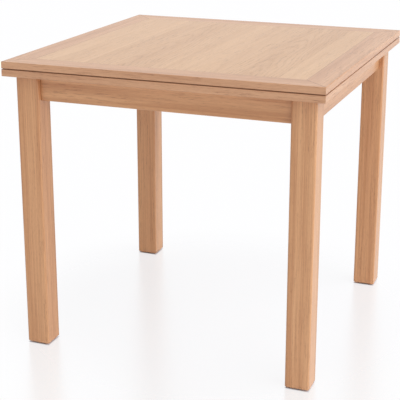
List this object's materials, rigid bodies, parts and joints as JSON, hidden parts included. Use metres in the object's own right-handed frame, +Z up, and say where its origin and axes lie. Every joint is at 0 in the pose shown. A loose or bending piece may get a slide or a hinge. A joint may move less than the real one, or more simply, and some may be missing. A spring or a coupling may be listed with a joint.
{
  "type": "swivel extending table",
  "caption": "Square oak dining table whose stacked pair of leaves turns a quarter turn on an off-centre pivot and unfolds on flush hinges into a rectangular top of double length.",
  "frame": {"origin": "on the floor, under the middle of the closed top", "axes": "+X right along the front edge, +Y to the back where the leaves are hinged, +Z up"},
  "size_m": [0.8, 0.8, 0.74],
  "materials": {
    "oak_field": "satin lacquered oak veneer",
    "oak_border": "satin lacquered oak",
    "oak_legs": "satin lacquered oak",
    "oak_aprons": "satin lacquered oak",
    "frame_wood": "planed beech, unlacquered",
    "core_board": "fibreboard",
    "joint_wood": "plywood and pressed beech",
    "hinge_brass": "satin brass",
    "zinc_steel": "zinc plated",
    "nylon": "moulded nylon",
    "felt": "pressed wool felt",
    "bumper": "soft clear urethane"
  },
  "bodies": {
    "frame": {"apron_back": "oak_aprons", "apron_front": "oak_aprons", "apron_left": "oak_aprons", "apron_right": "oak_aprons", "cleat_screws": "zinc_steel", "corner_block_back_left": "frame_wood", "corner_block_back_right": "frame_wood", "corner_block_front_left": "frame_wood", "corner_block_front_right": "frame_wood", "corner_block_screws": "zinc_steel", "felt_strips": "felt", "foot_glides": "nylon", "hanger_bolts": "zinc_steel", "hanger_nuts": "zinc_steel", "hanger_washers": "zinc_steel", "leg_back_left": "oak_legs", "leg_back_right": "oak_legs", "leg_front_left": "oak_legs", "leg_front_right": "oak_legs", "pivot_bush": "nylon", "pivot_rail": "frame_wood", "pivot_slip_washer": "nylon", "rail_cleat_left": "frame_wood", "rail_cleat_right": "frame_wood", "rail_screws": "zinc_steel"},
    "lower_leaf": {"hinge_lower_pins": "hinge_brass", "hinge_lower_plate_left": "hinge_brass", "hinge_lower_plate_right": "hinge_brass", "hinge_lower_screws": "hinge_brass", "leaf_bumpers": "bumper", "lower_leaf_border_back": "oak_border", "lower_leaf_border_front": "oak_border", "lower_leaf_border_left": "oak_border", "lower_leaf_border_right": "oak_border", "lower_leaf_core": "core_board", "lower_leaf_mitre_biscuits": "joint_wood", "lower_leaf_tongues": "joint_wood", "lower_leaf_veneers": "oak_field", "pivot_lock_nut": "zinc_steel", "pivot_plate": "zinc_steel", "pivot_plate_screws": "zinc_steel", "pivot_spring_washer": "zinc_steel", "pivot_stud": "zinc_steel", "pivot_washer": "zinc_steel", "stop_peg": "frame_wood"},
    "hinge_links": {"hinge_link_left": "hinge_brass", "hinge_link_right": "hinge_brass"},
    "upper_leaf": {"hinge_upper_pins": "hinge_brass", "hinge_upper_plate_left": "hinge_brass", "hinge_upper_plate_right": "hinge_brass", "hinge_upper_screws": "hinge_brass", "upper_leaf_border_back": "oak_border", "upper_leaf_border_front": "oak_border", "upper_leaf_border_left": "oak_border", "upper_leaf_border_right": "oak_border", "upper_leaf_core": "core_board", "upper_leaf_mitre_biscuits": "joint_wood", "upper_leaf_tongues": "joint_wood", "upper_leaf_veneers": "oak_field"}
  },
  "joints": [
    {"name": "top_swivel", "type": "hinge", "parent": "frame", "child": "lower_leaf", "pos_m": [0.2, 0.2, 0.7038], "axis": [0, 0, 1], "range_deg": [0, 90]},
    {"name": "link_turn", "type": "hinge", "parent": "lower_leaf", "child": "hinge_links", "pos_m": [0, 0.3968, 0.7181], "axis": [-1, 0, 0], "range_deg": [0, 90]},
    {"name": "leaf_fold", "type": "hinge", "parent": "hinge_links", "child": "upper_leaf", "pos_m": [0, 0.3968, 0.7257], "axis": [-1, 0, 0], "range_deg": [0, 90]}
  ]
}
